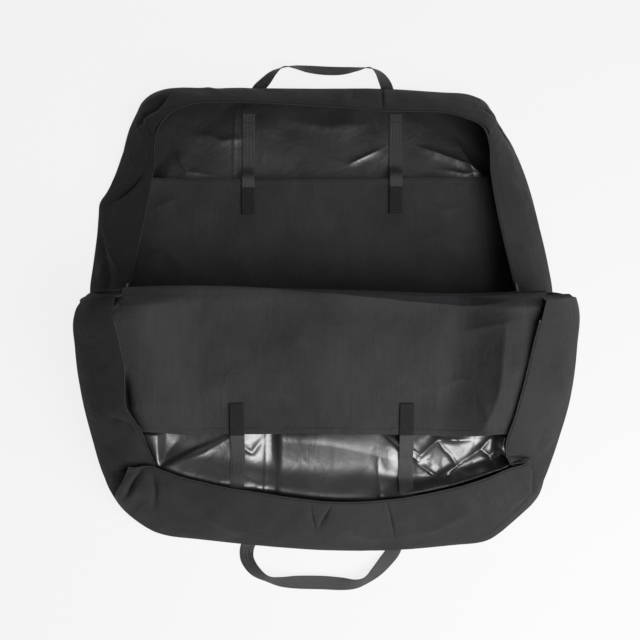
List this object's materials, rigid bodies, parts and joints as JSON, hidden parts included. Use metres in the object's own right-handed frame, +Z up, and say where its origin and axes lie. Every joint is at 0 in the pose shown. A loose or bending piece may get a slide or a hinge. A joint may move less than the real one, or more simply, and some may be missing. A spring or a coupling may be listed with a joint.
{
  "type": "soft bike travel bag",
  "caption": "Soft padded travel bag for a bicycle, lying open: two hinged trays with wheel pockets, straps, zip and webbing handles.",
  "frame": {"origin": "centre of the bounding box at the floor, close under the ridge where the two trays are joined", "axes": "+Z up, +X to the viewer's right along the ridge, +Y away from the viewer towards the back tray's handle"},
  "size_m": [1.32, 1.5268, 0.3447],
  "materials": {
    "outer_cloth": "matt black woven polyester cloth",
    "coated_lining": "glossy coated black lining cloth, creased",
    "foam": "closed cell foam sheet",
    "webbing": "black polypropylene webbing",
    "zip_tape": "black woven zip tape",
    "hook_and_loop": "black nylon hook and loop tape",
    "zip_coil": "black nylon zip coil",
    "board": "dark plastic stiffening sheet",
    "slider_metal": "black enamelled zinc"
  },
  "bodies": {
    "back_tray": {"base_shell": "outer_cloth", "base_board": "board", "base_lining": "coated_lining", "ridge_cord": "outer_cloth", "back_shell": "outer_cloth", "back_handle_tail_left": "webbing", "back_handle_tail_right": "webbing", "back_padding": "foam", "back_lining": "coated_lining", "back_wall_right": "outer_cloth", "back_wall_top": "outer_cloth", "back_wall_left": "outer_cloth", "back_zip_tape": "zip_tape", "back_zip_coil": "zip_coil", "back_pocket_panel": "outer_cloth", "back_pocket_hem": "outer_cloth", "back_strap_tab_left": "webbing", "back_strap_tab_right": "webbing", "back_loop_patch_left": "hook_and_loop", "back_loop_patch_right": "hook_and_loop"},
    "front_tray": {"front_shell": "outer_cloth", "front_handle_tail_left": "webbing", "front_handle_tail_right": "webbing", "front_padding": "foam", "front_lining": "coated_lining", "front_wall_right": "outer_cloth", "front_wall_top": "outer_cloth", "front_wall_left": "outer_cloth", "front_zip_tape": "zip_tape", "front_zip_coil": "zip_coil", "front_pocket_panel": "outer_cloth", "front_pocket_hem": "outer_cloth", "front_strap_tab_left": "webbing", "front_strap_tab_right": "webbing", "front_loop_patch_left": "hook_and_loop", "front_loop_patch_right": "hook_and_loop"},
    "back_strap_left": {"back_strap_left": "webbing", "back_hook_patch_left": "hook_and_loop"},
    "back_strap_right": {"back_strap_right": "webbing", "back_hook_patch_right": "hook_and_loop"},
    "front_strap_left": {"front_strap_left": "webbing", "front_hook_patch_left": "hook_and_loop"},
    "front_strap_right": {"front_strap_right": "webbing", "front_hook_patch_right": "hook_and_loop"},
    "back_handle": {"back_handle": "webbing"},
    "front_handle": {"front_handle": "webbing"},
    "slider_right": {"zip_slider_right": "slider_metal"},
    "slider_left": {"zip_slider_left": "slider_metal"},
    "pull_right": {"zip_pull_right": "slider_metal"},
    "pull_left": {"zip_pull_left": "slider_metal"}
  },
  "joints": [
    {"name": "tray_fold", "type": "hinge", "parent": "back_tray", "child": "front_tray", "pos_m": [0, -0.02213, 0.246], "axis": [1, 0, 0], "range_deg": [-200.2, 0]},
    {"name": "back_strap_left_peel", "type": "hinge", "parent": "back_tray", "child": "back_strap_left", "pos_m": [-0.22, 0.56687, 0.011], "axis": [-1, 0, 0], "range_deg": [0, 60]},
    {"name": "back_strap_right_peel", "type": "hinge", "parent": "back_tray", "child": "back_strap_right", "pos_m": [0.22, 0.56687, 0.011], "axis": [-1, 0, 0], "range_deg": [0, 60]},
    {"name": "front_strap_left_peel", "type": "hinge", "parent": "front_tray", "child": "front_strap_left", "pos_m": [-0.22, -0.57725, 0.04899], "axis": [1, 0, 0], "range_deg": [0, 60]},
    {"name": "front_strap_right_peel", "type": "hinge", "parent": "front_tray", "child": "front_strap_right", "pos_m": [0.22, -0.57725, 0.04899], "axis": [1, 0, 0], "range_deg": [0, 60]},
    {"name": "back_handle_lift", "type": "hinge", "parent": "back_tray", "child": "back_handle", "pos_m": [0, 0.67538, 0.00125], "axis": [1, 0, 0], "range_deg": [0, 88]},
    {"name": "front_handle_lift", "type": "hinge", "parent": "front_tray", "child": "front_handle", "pos_m": [0, -0.67538, 0.00125], "axis": [-1, 0, 0], "range_deg": [0, 60]},
    {"name": "slider_right_slide", "type": "slide", "parent": "back_tray", "child": "slider_right", "axis": [-0.1557, 0.9878, 0], "range_m": [0, 0.35]},
    {"name": "slider_left_slide", "type": "slide", "parent": "back_tray", "child": "slider_left", "axis": [0.1557, 0.9878, 0], "range_m": [0, 0.35]},
    {"name": "pull_right_flip", "type": "hinge", "parent": "slider_right", "child": "pull_right", "pos_m": [0.54109, 0.00286, 0.12589], "axis": [0.7347, 0.1158, -0.6684], "range_deg": [0, 110]},
    {"name": "pull_left_flip", "type": "hinge", "parent": "slider_left", "child": "pull_left", "pos_m": [-0.54109, 0.00286, 0.12589], "axis": [0.7347, -0.1158, 0.6684], "range_deg": [0, 110]}
  ]
}
